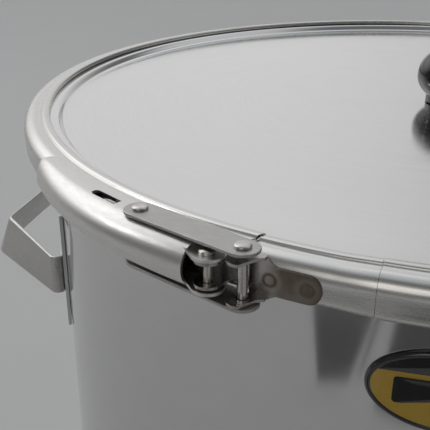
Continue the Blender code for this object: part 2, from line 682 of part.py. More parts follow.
def rack():
    """A perforated tray on short feet that keeps jars off the pot's floor."""
    floor = BASE_HEIGHT + GAP + WALL_SHEET + GAP
    high = floor + RACK_HEIGHT
    edge = 7 * MM
    profile = [(0, high - RACK_SHEET), (RACK_RADIUS - RACK_SHEET, high - RACK_SHEET),
               (RACK_RADIUS - RACK_SHEET, high - edge), (RACK_RADIUS, high - edge),
               (RACK_RADIUS, high), (0, high)]
    item = turned("canning_rack", profile, "aluminium")
    for ring, count in ((90 * MM, 7), (174 * MM, 12)):
        for index in range(count):
            centre = flat_point((ring, 360.0 * index / count + 7))
            circle = round_end(centre, RACK_HOLE, 0, 324, 9)
            hole = plate("rack_hole", circle, high - 3 * MM, high + 1 * MM, "steel")
            add_modifier(item, "DIFFERENCE", hole)
    for index in range(4):
        foot_top = high - RACK_SHEET - GAP
        profile = [(0, floor), (7 * MM, floor), (9 * MM, foot_top), (0, foot_top)]
        place = flat_point((205 * MM, 90.0 * index + 45))
        turned("rack_foot_%d" % index, profile, "aluminium", at=place, steps=16)


def build():
    clear_scene()
    pot_body()
    base_disc()
    rim_gasket()
    lid()
    clamp_band()
    clamp_tongue()
    lever()
    seal_lug()
    fulcrum_bracket()
    anchor_bracket()
    pins()
    links()
    handle("handle_right", 1)
    handle("handle_left", -1)
    handle_pads()
    badge()
    knob()
    knob_fixings()
    gauge()
    vent()
    safety_plug()
    rack()


build()
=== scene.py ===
"""Looks of the pressure canner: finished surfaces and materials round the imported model."""
import json
import math

import bmesh
import bpy
from mathutils import Matrix, Vector


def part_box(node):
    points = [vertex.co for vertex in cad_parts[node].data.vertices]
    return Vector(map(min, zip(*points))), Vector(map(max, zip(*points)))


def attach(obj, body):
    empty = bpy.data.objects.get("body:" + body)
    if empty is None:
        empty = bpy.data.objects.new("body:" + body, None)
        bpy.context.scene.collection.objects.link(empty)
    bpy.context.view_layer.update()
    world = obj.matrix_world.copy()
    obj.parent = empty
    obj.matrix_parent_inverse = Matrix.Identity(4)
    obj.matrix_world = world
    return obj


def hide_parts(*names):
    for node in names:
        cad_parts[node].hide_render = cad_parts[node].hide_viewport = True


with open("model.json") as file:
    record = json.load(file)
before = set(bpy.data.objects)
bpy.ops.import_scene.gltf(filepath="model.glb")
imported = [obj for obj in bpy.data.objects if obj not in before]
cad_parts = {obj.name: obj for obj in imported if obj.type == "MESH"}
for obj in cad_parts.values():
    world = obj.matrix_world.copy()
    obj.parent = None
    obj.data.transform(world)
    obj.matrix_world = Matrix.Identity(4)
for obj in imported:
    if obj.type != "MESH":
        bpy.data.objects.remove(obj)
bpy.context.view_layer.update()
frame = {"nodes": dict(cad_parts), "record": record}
MM = 0.001
JOINTS = {joint["name"]: joint for joint in frame["record"]["behaviour"]["joints"]}


# ---- places, read from the frame

def lowest(node):
    return Vector(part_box(node)[0])


def highest(node):
    return Vector(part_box(node)[1])


def middle(node):
    return (lowest(node) + highest(node)) / 2


def heights(node):
    return lowest(node).z, highest(node).z


def half_width(node):
    return (highest(node).x - lowest(node).x) / 2


def above(node):
    """(x, y) of the upright line through a node's middle."""
    return tuple(middle(node).xy)


def polar(place):
    """(radius, azimuth in degrees) of a place, seen from above."""
    return (math.hypot(place[0], place[1]), math.degrees(math.atan2(place[1], place[0])))


RING_TOP = highest("clamp_band_left").z
RING_BOTTOM = lowest("clamp_band_left").z
RING_RADIUS = -lowest("clamp_band_left").x
RING_WIDTH = 14.5 * MM
RING_LIP = RING_RADIUS - RING_WIDTH
RING_GAP = 0.03  # degrees from the hinge line to each half's end
RING_SHEET = 1.2 * MM
WALL_RADIUS = math.hypot(*highest("base_disc").xy) / math.sqrt(2) + 23 * MM
RIM_TOP = highest("lid").z
LID_EDGE = highest("lid").x
PANEL_EDGE = RIM_TOP - 3.8 * MM
PANEL_DISH = 1.5 * MM
FLEX = polar(JOINTS["ring_left_flex"]["pos_m"])
FULCRUM = polar(JOINTS["lever_swing"]["pos_m"])
ANCHOR = polar(JOINTS["link_swing"]["pos_m"])
LINK_RIVET = polar(middle("link_rivet_top"))
LEFT_END = ANCHOR[1] - 0.27
RIGHT_END = ANCHOR[1] + 10.33
TONGUE_END = ANCHOR[1] - 5.2
LEVER_MOUTH = FULCRUM[1] - 1.72
LEVER_NOSE = FULCRUM[1] - 27.4
LAND = RING_TOP - 1.2 * MM  # the ring's flat top, below its folded inner edge
LEVER_TOP = LAND + 1.6 * MM
LEVER_BOTTOM = lowest("lever").z + 0.7 * MM
LEVER_CENTRE = (LEVER_TOP + LEVER_BOTTOM) / 2
LEVER_HALF_HEIGHT = (LEVER_TOP - LEVER_BOTTOM) / 2
LINK_DROP = 1.2 * MM  # top link below the CAD's, on the lever's flange
LINK_LIFT = 1.1 * MM  # bottom link above the CAD's
LEVER_ARCH = RING_RADIUS - 0.5 * MM
LEVER_WEB = RING_RADIUS + 13 * MM
LEVER_TIP = RING_RADIUS + 4.6 * MM
LEVER_FLANGE = RING_RADIUS - 7.5 * MM
BADGE_AZIMUTH = polar(middle("badge_plate"))[1]


def down(distance):
    """A height, in mm below the ring's top."""
    return RING_TOP - distance * MM


def proud(distance):
    """A radius, in mm out from the ring's side."""
    return RING_RADIUS + distance * MM


# ---- mesh helpers

def cylindrical(radius, azimuth, height):
    angle = math.radians(azimuth)
    return Vector((radius * math.cos(angle), radius * math.sin(angle), height))


def flat_point(place):
    """(x, y) of a (radius, azimuth) place."""
    return tuple(cylindrical(*place, 0).xy)


def flat_points(*places):
    return [flat_point(place) for place in places]


def offsets(across, up, *steps):
    """Points given by their distances in mm from one place."""
    return [(across + x * MM, up + y * MM) for x, y in steps]


def near_ring(azimuth, *steps):
    """Outline points given in mm out from the ring and in degrees on from an azimuth."""
    return flat_points(*[(RING_RADIUS + out * MM, azimuth + turn) for out, turn in steps])


def arc(centre, radius, start, end, steps=24):
    """Points along a circular or elliptical arc; angles from the first axis to the second."""
    across, up = radius if isinstance(radius, tuple) else (radius, radius)
    points = []
    for step in range(steps + 1):
        angle = math.radians(start + (end - start) * step / steps)
        points.append((centre[0] + across * math.cos(angle), centre[1] + up * math.sin(angle)))
    return points


def eased(points, rounds=2):
    """An open profile with its corners cut round, keeping its two end points."""
    for _ in range(rounds):
        smooth = [points[0]]
        for a, b in zip(points, points[1:]):
            smooth.append(tuple(0.75 * p + 0.25 * q for p, q in zip(a, b)))
            smooth.append(tuple(0.25 * p + 0.75 * q for p, q in zip(a, b)))
        points = smooth + [points[-1]]
    return points


def make(name, bm, smooth=32.0):
    bmesh.ops.remove_doubles(bm, verts=bm.verts, dist=0.002 * MM)
    bmesh.ops.recalc_face_normals(bm, faces=bm.faces)
    mesh = bpy.data.meshes.new(name)
    bm.to_mesh(mesh)
    bm.free()
    mesh.shade_smooth()
    mesh.set_sharp_from_angle(angle=math.radians(smooth))
    item = bpy.data.objects.new(name, mesh)
    bpy.context.scene.collection.objects.link(item)
    return item


def turned(name, profile, at=(0, 0), steps=192):
    """A closed (r, z) profile turned once round the vertical line through `at`."""
    bm = bmesh.new()
    verts = [bm.verts.new((r, 0, z)) for r, z in profile]
    edges = [bm.edges.new((a, b)) for a, b in zip(verts, verts[1:] + verts[:1])
             if max(a.co.x, b.co.x) > 0]
    bmesh.ops.spin(bm, geom=verts + edges, cent=(0, 0, 0), axis=(0, 0, 1),
                   angle=math.tau, steps=steps, use_merge=True)
    bmesh.ops.translate(bm, verts=bm.verts, vec=(*at, 0))
    return make(name, bm)


def loft(name, loops, smooth=32.0, closed=False):
    """A tube through loops of equal length, capped at both ends unless it closes on itself."""
    bm = bmesh.new()
    rings = [[bm.verts.new(point) for point in loop] for loop in loops]
    pairs = list(zip(rings, rings[1:]))
    if closed:
        pairs.append((rings[-1], rings[0]))
    for ring, following in pairs:
        for index in range(len(ring)):
            side = (index + 1) % len(ring)
            bm.faces.new((ring[index], ring[side], following[side], following[index]))
    if not closed:
        bm.faces.new(rings[0])
        bm.faces.new(rings[-1])
    return make(name, bm, smooth)


def bent_round(name, section_at, start, end, step):
    """A section, which may change with azimuth, carried round the vessel's axis."""
    count = max(1, round(abs(end - start) / step))
    loops = []
    for index in range(count + 1):
        azimuth = start + (end - start) * index / count
        loops.append([cylindrical(r, azimuth, z) for r, z in section_at(azimuth)])
    return loft(name, loops)


def plate(name, outline, bottom, top):
    loops = [[Vector((x, y, height)) for x, y in outline] for height in (bottom, top)]
    return loft(name, loops)


def bevelled(item, width, segments=3, angle=35.0):
    change = item.modifiers.new("edges", "BEVEL")
    change.width = width
    change.segments = segments
    change.limit_method = "ANGLE"
    change.angle_limit = math.radians(angle)


def cut(item, tool, operation="DIFFERENCE"):
    """Apply a Boolean with another object, and delete that object."""
    change = item.modifiers.new("cut", "BOOLEAN")
    change.operation = operation
    change.object = tool
    change.solver = "EXACT"
    bpy.context.view_layer.update()
    shape = item.evaluated_get(bpy.context.evaluated_depsgraph_get())
    mesh = bpy.data.meshes.new_from_object(shape)
    item.modifiers.remove(change)
    item.data = mesh
    bpy.data.objects.remove(tool, do_unlink=True)


def drill(item, centre, radius, bottom, top, steps=32):
    circle = arc(centre, radius, 0, 360 - 360 / steps, steps - 1)
    cut(item, plate("drill", circle, bottom, top))


def soften(item, width, angle=35.0, smooth=32.0):
    """Shade a cut piece afresh, and round its edges."""
    item.data.shade_smooth()
    item.data.set_sharp_from_angle(angle=math.radians(smooth))
    bevelled(item, width, 2, angle)


def settle(item, look, body, slot, *nodes):
    """Give a piece its material and its body, and hide the CAD nodes that it stands for; `slot` is
    not used.
    """
    item.data.materials.clear()
    item.data.materials.append(look)
    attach(item, body)
    if nodes:
        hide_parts(*nodes)


# ---- materials

def vector_math(tree, operation, first, second):
    """A vector node over two inputs, each a socket or a fixed vector."""
    made = tree.nodes.new("ShaderNodeVectorMath")
    made.operation = operation
    for socket, value in zip(made.inputs, (first, second)):
        if isinstance(value, bpy.types.NodeSocket):
            tree.links.new(value, socket)
        else:
            socket.default_value = value
    return made


class Look:
    """A Principled material with a few helpers for building its node tree."""

    def __init__(self, name, colour, roughness, metallic=1.0):
        self.material = bpy.data.materials.new(name)
        self.material.use_nodes = True
        self.tree = self.material.node_tree
        self.shader = self.tree.nodes["Principled BSDF"]
        self.set("Base Color", (*colour, 1.0))
        self.set("Roughness", roughness)
        self.set("Metallic", metallic)

    def set(self, socket, value):
        self.shader.inputs[socket].default_value = value

    def node(self, kind, **settings):
        made = self.tree.nodes.new("ShaderNode" + kind)
        for key, value in settings.items():
            setattr(made, key, value)
        return made

    def link(self, source, target):
        self.tree.links.new(source, target)

    def math(self, operation, first, second=0.0):
        made = self.node("Math", operation=operation)
        for index, value in enumerate((first, second)):
            if isinstance(value, (int, float)):
                made.inputs[index].default_value = value
            else:
                self.link(value, made.inputs[index])
        return made.outputs[0]

    def mix(self, factor, first, second):
        made = self.node("Mix", data_type="RGBA")
        self.link(factor, made.inputs["Factor"])
        for socket, value in ((made.inputs[6], first), (made.inputs[7], second)):
            if isinstance(value, tuple):
                socket.default_value = (*value, 1.0)
            else:
                self.link(value, socket)
        return made.outputs[2]

    def place(self):
        return self.node("TexCoord").outputs["Object"]

    def round_place(self, scales, centre=(0, 0)):
        """(radius, azimuth, height) round a vertical axis, each times its scale."""
        shift = vector_math(self.tree, "SUBTRACT", self.place(), (*centre, 0))
        parts = self.node("SeparateXYZ")
        self.link(shift.outputs[0], parts.inputs[0])
        x, y, z = parts.outputs
        radius = self.math("SQRT", self.math("ADD", self.math("MULTIPLY", x, x),
                                             self.math("MULTIPLY", y, y)))
        azimuth = self.math("ARCTAN2", y, x)
        joined = self.node("CombineXYZ")
        for value, scale, socket in zip((radius, azimuth, z), scales, joined.inputs):
            self.link(self.math("MULTIPLY", value, scale), socket)
        return joined.outputs[0]

    def flat_place(self, scales, turn=0.0):
        """Object coordinates turned about Z, then scaled along each axis."""
        turned_place = self.node("Mapping", vector_type="POINT")
        self.link(self.place(), turned_place.inputs[0])
        turned_place.inputs["Rotation"].default_value = (0, 0, -math.radians(turn))
        return vector_math(self.tree, "MULTIPLY", turned_place.outputs[0], scales).outputs[0]

    def noise(self, vector, detail=4.0, scale=1.0):
        made = self.node("TexNoise")
        made.inputs["Scale"].default_value = scale
        made.inputs["Detail"].default_value = detail
        self.link(vector, made.inputs["Vector"])
        return made.outputs[0]

    def span(self, value, low, high, start=0.3, end=0.7):
        made = self.node("MapRange")
        self.link(value, made.inputs["Value"])
        for socket, number in zip(("From Min", "From Max", "To Min", "To Max"),
                                  (start, end, low, high)):
            made.inputs[socket].default_value = number
        return made.outputs[0]

    def bump(self, height, distance, strength=1.0):
        made = self.node("Bump")
        made.inputs["Strength"].default_value = strength
        made.inputs["Distance"].default_value = distance
        if "Normal" in self.shader.inputs and self.shader.inputs["Normal"].links:
            self.link(self.shader.inputs["Normal"].links[0].from_socket, made.inputs["Normal"])
        self.link(height, made.inputs["Height"])
        self.link(made.outputs[0], self.shader.inputs["Normal"])

    def near(self, centre, inner, outer):
        """1 within inner metres of a point, falling to 0 at outer."""
        distance = vector_math(self.tree, "DISTANCE", self.place(), centre)
        return self.span(distance.outputs["Value"], 1.0, 0.0, inner, outer)


def metal(name, colour, roughness, grain, darker=0.12, rougher=0.1, depth=0.00002,
          spots=0.08, centre=(0, 0), flat=None):
    """Steel with drawn grain, cloudy wear and fine specks."""
    look = Look(name, colour, roughness)
    where = look.flat_place(grain, flat) if flat is not None else look.round_place(grain, centre)
    streaks = look.noise(where, 5.0)
    clouds = look.noise(look.place(), 3.0, 38.0)
    specks = look.noise(look.place(), 2.0, 900.0)
    shade = tuple(channel * (1 - darker) for channel in colour)
    worn = look.mix(look.span(streaks, 0.0, 1.0, 0.38, 0.66), colour, shade)
    dull = tuple(channel * (1 - spots) for channel in colour)
    look.link(look.mix(look.span(clouds, 0.0, 0.6, 0.5, 0.72), worn, dull),
              look.shader.inputs["Base Color"])
    rough = look.span(streaks, roughness - rougher / 2, roughness + rougher / 2)
    rough = look.math("ADD", rough, look.span(clouds, 0.0, rougher / 2, 0.45, 0.7))
    look.link(rough, look.shader.inputs["Roughness"])
    look.bump(look.math("ADD", streaks, look.math("MULTIPLY", specks, 0.2)), depth)
    return look


def gloss(name, colour, roughness, coat=0.5):
    """Polished moulding: a coated dielectric with faint orange peel and fine dust."""
    look = Look(name, colour, roughness, 0.0)
    look.set("Coat Weight", coat)
    look.set("Coat Roughness", 0.04)
    dust = look.noise(look.place(), 6.0, 420.0)
    pale = tuple(min(1.0, channel + 0.05) for channel in colour)
    look.link(look.mix(look.span(dust, 0.0, 0.5, 0.62, 0.8), colour, pale),
              look.shader.inputs["Base Color"])
    look.link(look.span(dust, roughness, roughness + 0.02), look.shader.inputs["Roughness"])
    look.bump(look.noise(look.place(), 2.0, 120.0), 0.00002, 0.6)
    return look


def bracket_steel(name, welds):
    """Grey sheet, browned round the outer spot weld and ringed with straw at each weld."""
    look = metal(name, (0.42, 0.405, 0.385), 0.24, (300, 40, 300), darker=0.12, depth=0.000006,
                 spots=0.18)
    base = look.shader.inputs["Base Color"].links[0].from_socket
    patches = look.noise(look.place(), 3.0, 90.0)
    brown = look.near(welds[-1], 11 * MM, 17.5 * MM)
    brown = look.math("MULTIPLY", brown, look.span(patches, 0.7, 1.0))
    base = look.mix(brown, base, (0.115, 0.085, 0.062))
    for weld, straw_share, halo_share in zip(welds, (0.85, 0.3), (0.3, 0.16)):
        straw = look.math("SUBTRACT", look.near(weld, 2.5 * MM, 3.5 * MM),
                          look.near(weld, 1.5 * MM, 2.1 * MM))
        straw = look.math("MULTIPLY", straw, look.span(patches, straw_share * 0.4, straw_share))
        base = look.mix(straw, base, (0.12, 0.06, 0.03))
        halo = look.math("SUBTRACT", look.near(weld, 3.6 * MM, 5.4 * MM),
                         look.near(weld, 2.6 * MM, 3.4 * MM))
        base = look.mix(look.math("MULTIPLY", halo, halo_share), base, (0.42, 0.39, 0.35))
    look.link(base, look.shader.inputs["Base Color"])
    return look.material


def ring_metal():
    look = metal("ring_satin", (0.66, 0.65, 0.63), 0.27, (2200, 7, 900), darker=0.1,
                 rougher=0.1, depth=0.000004, spots=0.08)
    return look.material


def lid_metal():
    look = metal("lid_mirror", (0.74, 0.74, 0.735), 0.13, (900, 6, 300), darker=0.025,
                 rougher=0.04, depth=0.000004, spots=0.03)
    return look.material


def wall_metal():
    look = metal("wall_polish", (0.61, 0.61, 0.6), 0.09, (300, 14, 90), darker=0.02,
                 rougher=0.03, depth=0.000002, spots=0.03)
    return look.material


def rubber(name, colour):
    roughness = 0.55
    look = Look(name, colour, roughness, 0.0)
    grains = look.noise(look.place(), 4.0, 700.0)
    pale = tuple(min(1.0, channel * 1.5 + 0.01) for channel in colour)
    look.link(look.mix(look.span(grains, 0.0, 0.6), colour, pale),
              look.shader.inputs["Base Color"])
    look.link(look.span(grains, roughness - 0.08, roughness + 0.1),
              look.shader.inputs["Roughness"])
    look.bump(grains, 0.00005, 0.7)
    return look.material


# ---- vessel

def lid_panel(look):
    """Dished mirror panel, rolled recess wall and rim flange."""
    sheet = 1.2 * MM
    steps = 14
    dish = [(LID_EDGE * 0.93 * k / steps, PANEL_EDGE - PANEL_DISH * (1 - (k / steps) ** 2))
            for k in range(steps + 1)]
    wall = [dish[-1]] + offsets(0, PANEL_EDGE, (232.6, 0.05), (233.6, 0.5))
    wall += offsets(0, RIM_TOP, (234.8, -1.4), (236.2, -0.1), (238, 0))
    top = dish[:-1] + eased(wall, 3) + [(LID_EDGE - 0.8 * MM, RIM_TOP)]
    edge = arc((LID_EDGE - sheet / 2, RIM_TOP - sheet / 2), sheet / 2, 90, -90, 6)
    under = offsets(0, RIM_TOP, (237.4, -1.2), (235.4, -2.6)) + [(232 * MM, PANEL_EDGE - sheet)]
    under += [(r, z - sheet) for r, z in dish[::-1]]
    item = turned("lid_panel", (top + edge + under)[::-1], steps=256)
    settle(item, look, "root", "lid_steel", "lid")


def pot_shell(look):
    sheet = 1.5 * MM
    outer, inner = WALL_RADIUS, WALL_RADIUS - sheet
    floor_height, bead_top = heights("pot_body")
    bead = (WALL_RADIUS + 4.8 * MM, bead_top - 3.5 * MM)
    corner = 12 * MM
    profile = [(0, floor_height), (WALL_RADIUS * 0.5, floor_height)]
    profile += arc((outer - corner, floor_height + corner), corner, -90, 0, 16)
    profile += [(outer, floor_height + rise) for rise in (0.1, 0.2, 0.3)]
    profile += eased(offsets(outer, bead_top, (0, -12), (0, -7), (1.6, -7.2)), 2)
    profile += arc(bead, (3.6 * MM, 3.5 * MM), -80, 90, 14)
    profile += offsets(inner, bead_top, (0.6, 0), (0, -0.8))
    shift = corner - sheet
    profile += arc((inner - shift, floor_height + sheet + shift), shift, 0, -90, 12)
    profile += [(0, floor_height + sheet)]
    item = turned("pot_shell", profile, steps=256)
    settle(item, look, "root", "pot_steel", "pot_body")


# ---- clamp ring

def ring_profile(inset=0.0, squeeze=0.0):
    """The ring's C section: folded inner edge, flat land, broad round shoulder, low lip."""
    top, low, outer = RING_TOP - inset, RING_BOTTOM + inset, RING_RADIUS - inset
    land = LAND - inset
    lip = RING_LIP + squeeze
    foot = max(RIM_TOP + 0.25 * MM, top - 2.95 * MM)
    fold = offsets(lip, foot, (0.9, 0), (0.2, 0.3))
    fold += offsets(lip, top, (0, -1.2), (0.4, -0.3), (1.4, 0), (3.3, 0), (4.0, -0.4))
    fold += offsets(lip, land, (4.5, 0), (5.0, 0.12), (6.4, 0))
    wide, deep = 6.6 * MM, 6.4 * MM
    hub = (outer - wide, land - deep)
    shoulder = arc(hub, (wide, deep), 88, 0, 16)
    bend, wall = 3.4 * MM, 0.25 * MM
    turn_hub = (outer - 3.6 * MM, low + bend)
    skirt = [(outer, top - 9.5 * MM), (outer - wall, low + 5 * MM)]
    turn = arc(turn_hub, (3.35 * MM, bend), -6, -90, 8)
    inward = lip + 2.4 * MM
    low_lip = [(inward, low), (inward - 0.4 * MM, low + 0.5 * MM), (inward, low + RING_SHEET)]
    inner_turn = arc(turn_hub, (3.35 * MM - RING_SHEET, bend - RING_SHEET), -90, -6, 6)
    inner_skirt = [(r - RING_SHEET, z) for r, z in skirt[::-1]]
    sheet = min(RING_SHEET, land - foot - 0.3 * MM)
    inner_shoulder = arc(hub, (wide - RING_SHEET, deep - sheet), 0, 90, 8)
    return (eased(fold, 1) + shoulder + skirt + turn + low_lip + inner_turn + inner_skirt
            + inner_shoulder + [(lip + 2.6 * MM, land - sheet)])


def slant_azimuth(radius):
    """Where the left band's free end is cut, sloping back from its lip to its outer edge."""
    share = min(1.0, max(0.0, 1 - (RING_RADIUS - radius) / RING_WIDTH))
    return LEFT_END + 0.12 - 2.2 * share ** 1.4


def ring_band_left(look):
    """Left half of the band, with a thin bright edge at its free end."""
    end = FLEX[1] - 360 + RING_GAP
    item = bent_round("ring_band_left", lambda _azimuth: ring_profile(), LEFT_END + 0.12, end, 0.9)
    radii = [RING_LIP + step * 2.4 * MM for step in range(-1, 9)]
    slant = flat_points(*[(radius, slant_azimuth(radius)) for radius in radii],
                        (radii[-1], LEFT_END + 2), (radii[0], LEFT_END + 2))
    cut(item, plate("slant", slant, down(7), down(-1)))
    soften(item, 0.2 * MM, 50)
    settle(item, look, "ring_left", "ring_steel", "clamp_band_left")


def joggle(azimuth):
    """0 on the full band, 1 on the drawn-in tongue."""
    share = min(1.0, max(0.0, (RIGHT_END - 0.05 - azimuth) / 3.6))
    return share * share * (3 - 2 * share)


def ring_band_right(look):
    """Right half of the band and the tongue that goes in under the left half's end."""
    item = bent_round("ring_band_right", lambda _azimuth: ring_profile(), RIGHT_END,
                      FLEX[1] - RING_GAP, 0.9)
    settle(item, look, "ring_right", "ring_steel", "clamp_band_right")
    under = ring_profile(inset=1.5 * MM, squeeze=3.4 * MM)

    def section(azimuth):
        shown = ring_profile(inset=(0.25 + 0.35 * joggle(azimuth)) * MM)
        points = []
        for (radius, height), (deep_radius, deep_height) in zip(shown, under):
            share = min(1.0, max(0.0, (slant_azimuth(radius) + 0.13 - azimuth) / 0.12))
            points.append((radius + (deep_radius - radius) * share,
                           height + (deep_height - height) * share))
        return points

    tongue = bent_round("ring_tongue", section, TONGUE_END, RIGHT_END - 0.04, 0.08)
    settle(tongue, look, "ring_right", "ring_steel", "clamp_tongue")


def nose_round(azimuth, reach):
    """0 at the lever's very nose, 1 from `reach` degrees behind it, along a quarter circle."""
    behind = min(1.0, max(0.0, (azimuth - LEVER_NOSE) / reach))
    return math.sqrt(1 - (1 - behind) ** 2)


def lever_depth(azimuth):
    """How far the web reaches: full over the grip, sinking to the ring towards the nose."""
    along = (azimuth - LEVER_MOUTH) / (LEVER_NOSE - LEVER_MOUTH)
    fall = max(0.0, (along - 0.3) / 0.7)
    return LEVER_WEB + (LEVER_TIP - LEVER_WEB) * fall ** 1.6


def lever_section(azimuth):
    """Flat top flange, then a half-round web; both close in on the nose."""
    blunt = nose_round(azimuth, 3.4)
    reach = lever_depth(azimuth)
    flat_edge = LEVER_ARCH + 2.6 * MM * (reach - LEVER_TIP) / (LEVER_WEB - LEVER_TIP)
    depth = (reach - flat_edge) * (0.6 + 0.4 * nose_round(azimuth, 1.4))
    sheet = RING_SHEET
    lip = sheet / 2
    upper = LEVER_HALF_HEIGHT - 1.7 * MM * (1 - blunt)
    along = max(0.0, (azimuth - LEVER_MOUTH) / (LEVER_NOSE - LEVER_MOUTH))
    lower = LEVER_HALF_HEIGHT - 3.2 * MM * along ** 0.8 - 1.5 * MM * (1 - blunt)
    flange = LEVER_FLANGE + 7 * MM * (1 - blunt)
    mid = LEVER_CENTRE
    inside = max(depth - sheet, 0.4 * MM)
    section = arc((flange + lip, mid + upper - lip), lip, 180, 90, 4)
    section += arc((flat_edge, mid), (depth, upper), 90, 0, 24)
    section += arc((flat_edge, mid), (depth, lower), 0, -90, 24)[1:]
    section += arc((flange + lip, mid - lower + lip), lip, 270, 90, 6)
    section += arc((flat_edge, mid), (inside, lower - sheet), -90, 0, 16)
    section += arc((flat_edge, mid), (inside, upper - sheet), 0, 90, 16)[1:]
    section += [(flange + lip, mid + upper - sheet)]
    return section


def lever_body(look):
    """The pressed lever, with its two ears round the fulcrum pin and its slot."""
    overhang = LEVER_MOUTH + 0.9
    item = bent_round("lever_body", lever_section, overhang, LEVER_NOSE + 0.02, 0.3)
    pin = flat_point(FULCRUM)
    ears = [(RING_TOP - drop * MM, RING_TOP - (drop - 1.2) * MM) for drop in (3.2, 16.3)]
    within, beyond = RING_LIP - 2 * MM, proud(20)
    past_end = [(beyond, overhang + 1), (within, overhang + 1)]
    mouth = flat_points((within, LEVER_MOUTH), (beyond, LEVER_MOUTH), *past_end)
    cut(item, plate("mouth", mouth, down(24), ears[0][1]))
    brow = flat_points((within, overhang - 0.2), (proud(1), overhang - 0.35),
                       (proud(9.5), LEVER_MOUTH), (beyond, LEVER_MOUTH), *past_end)
    cut(item, plate("brow", brow, ears[0][1] - 0.1 * MM, down(-4)))
    for low, top in ears:
        ear = arc(pin, 6.3 * MM, FULCRUM[1] - 40, FULCRUM[1] + 180, 28)
        ear += near_ring(LEVER_MOUTH, (3.1, -1.2), (8.0, -1.2), (9.6, -0.1))
        cut(item, plate("lever_ear", ear, low, top), "UNION")
    drill(item, pin, 2.05 * MM, down(19), down(-0.2))
    slot = near_ring(LEVER_MOUTH, (-1.5, -9.9), (-1.5, -13.4), (-0.3, -13.7), (1.7, -13.6),
                     (2.5, -13.1), (2.5, -9.9))
    cut(item, plate("slot", slot, down(1), down(-4)))
    soften(item, 0.25 * MM)
    settle(item, look, "lever", "lever_steel", "lever")


def fulcrum_plate(look):
    """Bent sheet on the band's left end: a back plate and two round ears for the pin."""
    top, low = down(3.9), down(14.5)
    sheet = 1.1 * MM
    inner, outer = proud(0.35), proud(1.5)
    back = [(inner, low), (outer, low), (outer, top), (inner, top)]
    item = bent_round("fulcrum_plate", lambda _azimuth: back, FULCRUM[1] + 2.2,
                      FULCRUM[1] - 5.1, 0.3)
    pin = flat_point(FULCRUM)
    ear = arc(pin, 5.2 * MM, FULCRUM[1] - 90, FULCRUM[1] + 90, 28)
    ear += near_ring(FULCRUM[1], (0.8, 1.3), (0.8, -1.4))
    for height in (low, top - sheet):
        cut(item, plate("fulcrum_ear", ear, height, height + sheet), "UNION")
    drill(item, pin, 2.0 * MM, down(19), RING_TOP)
    soften(item, 0.22 * MM)
    settle(item, look, "ring_left", "bracket_steel", "fulcrum_bracket")


def link_outline():
    anchor, rivet_place = flat_points(ANCHOR, LINK_RIVET)
    heading = math.degrees(math.atan2(rivet_place[1] - anchor[1], rivet_place[0] - anchor[0]))
    half = 6.5 * MM
    return (arc(rivet_place, half, heading - 90, heading + 90)
            + arc(anchor, half, heading + 90, heading + 270))


def link_bars(look):
    for name, node, shift in (("link_bar_top", "link_top", -LINK_DROP),
                              ("link_bar_low", "link_bottom", LINK_LIFT)):
        low, high = heights(node)
        item = plate(name, link_outline(), low + shift, high + shift)
        bevelled(item, 0.32 * MM, 3)
        settle(item, look, "links", "link_steel", node)


def rivet(name, place, seat, up, look, body, *nodes, radius=3.25, rise=1.6):
    """A domed head with a soft edge, standing on `seat` or hanging under it; sizes in mm."""
    head, dome = radius * MM, rise * MM
    profile = [(0, 0), (head * 0.97, 0), (head, dome * 0.12), (head, dome * 0.45)]
    profile += arc((0, dome * 0.45), (head, dome * 0.55), 0, 90, 12)[1:]
    profile = [(r, seat + z if up else seat - z) for r, z in profile]
    if not up:
        profile = profile[::-1]
    item = turned(name, profile, at=flat_point(place), steps=48)
    settle(item, look, body, "pin_steel", *nodes)


def pin_shaft(name, place, radius, low, high, look, body, node):
    edge = 0.3 * MM
    profile = [(0, low), (radius - edge, low), (radius, low + edge), (radius, high - edge),
               (radius - edge, high), (0, high)]
    item = turned(name, profile, at=flat_point(place), steps=40)
    settle(item, look, body, "pin_steel", node)


def closure_pins(look):
    top_link, low_link = highest("link_top").z - LINK_DROP, lowest("link_bottom").z + LINK_LIFT
    rivet("link_rivet_head", LINK_RIVET, top_link, True, look, "links", "link_rivet_top")
    rivet("link_rivet_foot", LINK_RIVET, low_link, False, look, "links", "link_rivet_bottom")
    pin_shaft("anchor_shaft", ANCHOR, 1.95 * MM, low_link, top_link, look, "ring_right",
              "anchor_pin")
    rivet("anchor_head", ANCHOR, top_link, True, look, "ring_right")
    rivet("anchor_foot", ANCHOR, low_link, False, look, "ring_right")
    pin_top, pin_low = down(2.0), down(16.4)
    pin_shaft("fulcrum_shaft", FULCRUM, 1.7 * MM, pin_low, pin_top, look, "ring_left",
              "fulcrum_pin")
    rivet("fulcrum_head", FULCRUM, pin_top, True, look, "ring_left", radius=3.2, rise=1.9)
    rivet("fulcrum_foot", FULCRUM, pin_low, False, look, "ring_left", radius=3.2, rise=1.4)


def weld_places():
    """Centres of the two spot welds, on the face of the anchor bracket's tab."""
    radius = proud(-0.1)
    return [cylindrical(radius, ANCHOR[1] + 1.9, down(10.7)),
            cylindrical(radius, ANCHOR[1] + 5.05, down(11.3))]


